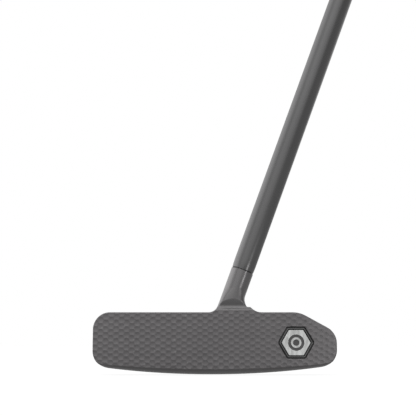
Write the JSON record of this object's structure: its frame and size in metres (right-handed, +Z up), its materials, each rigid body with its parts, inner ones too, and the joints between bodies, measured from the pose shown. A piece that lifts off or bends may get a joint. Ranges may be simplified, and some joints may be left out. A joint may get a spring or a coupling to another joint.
{
  "type": "blade putter",
  "caption": "Centre-shafted blade putter with a finely milled face, a flared neck, a hexagonal inlay, a stepped steel shaft and a pistol grip.",
  "frame": {"origin": "centre of the small flat spot on the sole, where the head touches the ground at address", "axes": "+Z up, -Y the way the face looks, +X towards the heel and the way the shaft leans"},
  "size_m": [0.3613, 0.031, 0.814],
  "materials": {
    "head_steel": "satin, dark finish, finely milled",
    "badge_metal": "satin, machined",
    "enamel_black": "semi-gloss",
    "adhesive": "matt",
    "sight_paint": "semi-gloss",
    "shaft_steel": "satin, dark plated",
    "epoxy": "semi-gloss",
    "tape": "matt",
    "grip_foam": "matt",
    "grip_skin": "matt, textured",
    "grip_rubber": "matt"
  },
  "bodies": {
    "root": {"head_body": "head_steel", "badge_plate": "badge_metal", "badge_border_fill": "enamel_black", "badge_motif_fill": "enamel_black", "badge_adhesive": "adhesive", "sight_line_fill": "sight_paint", "shaft": "shaft_steel", "hosel_epoxy": "epoxy", "grip_tape": "tape", "grip_core": "grip_foam", "grip_cover": "grip_skin", "grip_end_ring": "grip_rubber", "grip_cap": "grip_rubber"}
  },
  "joints": []
}
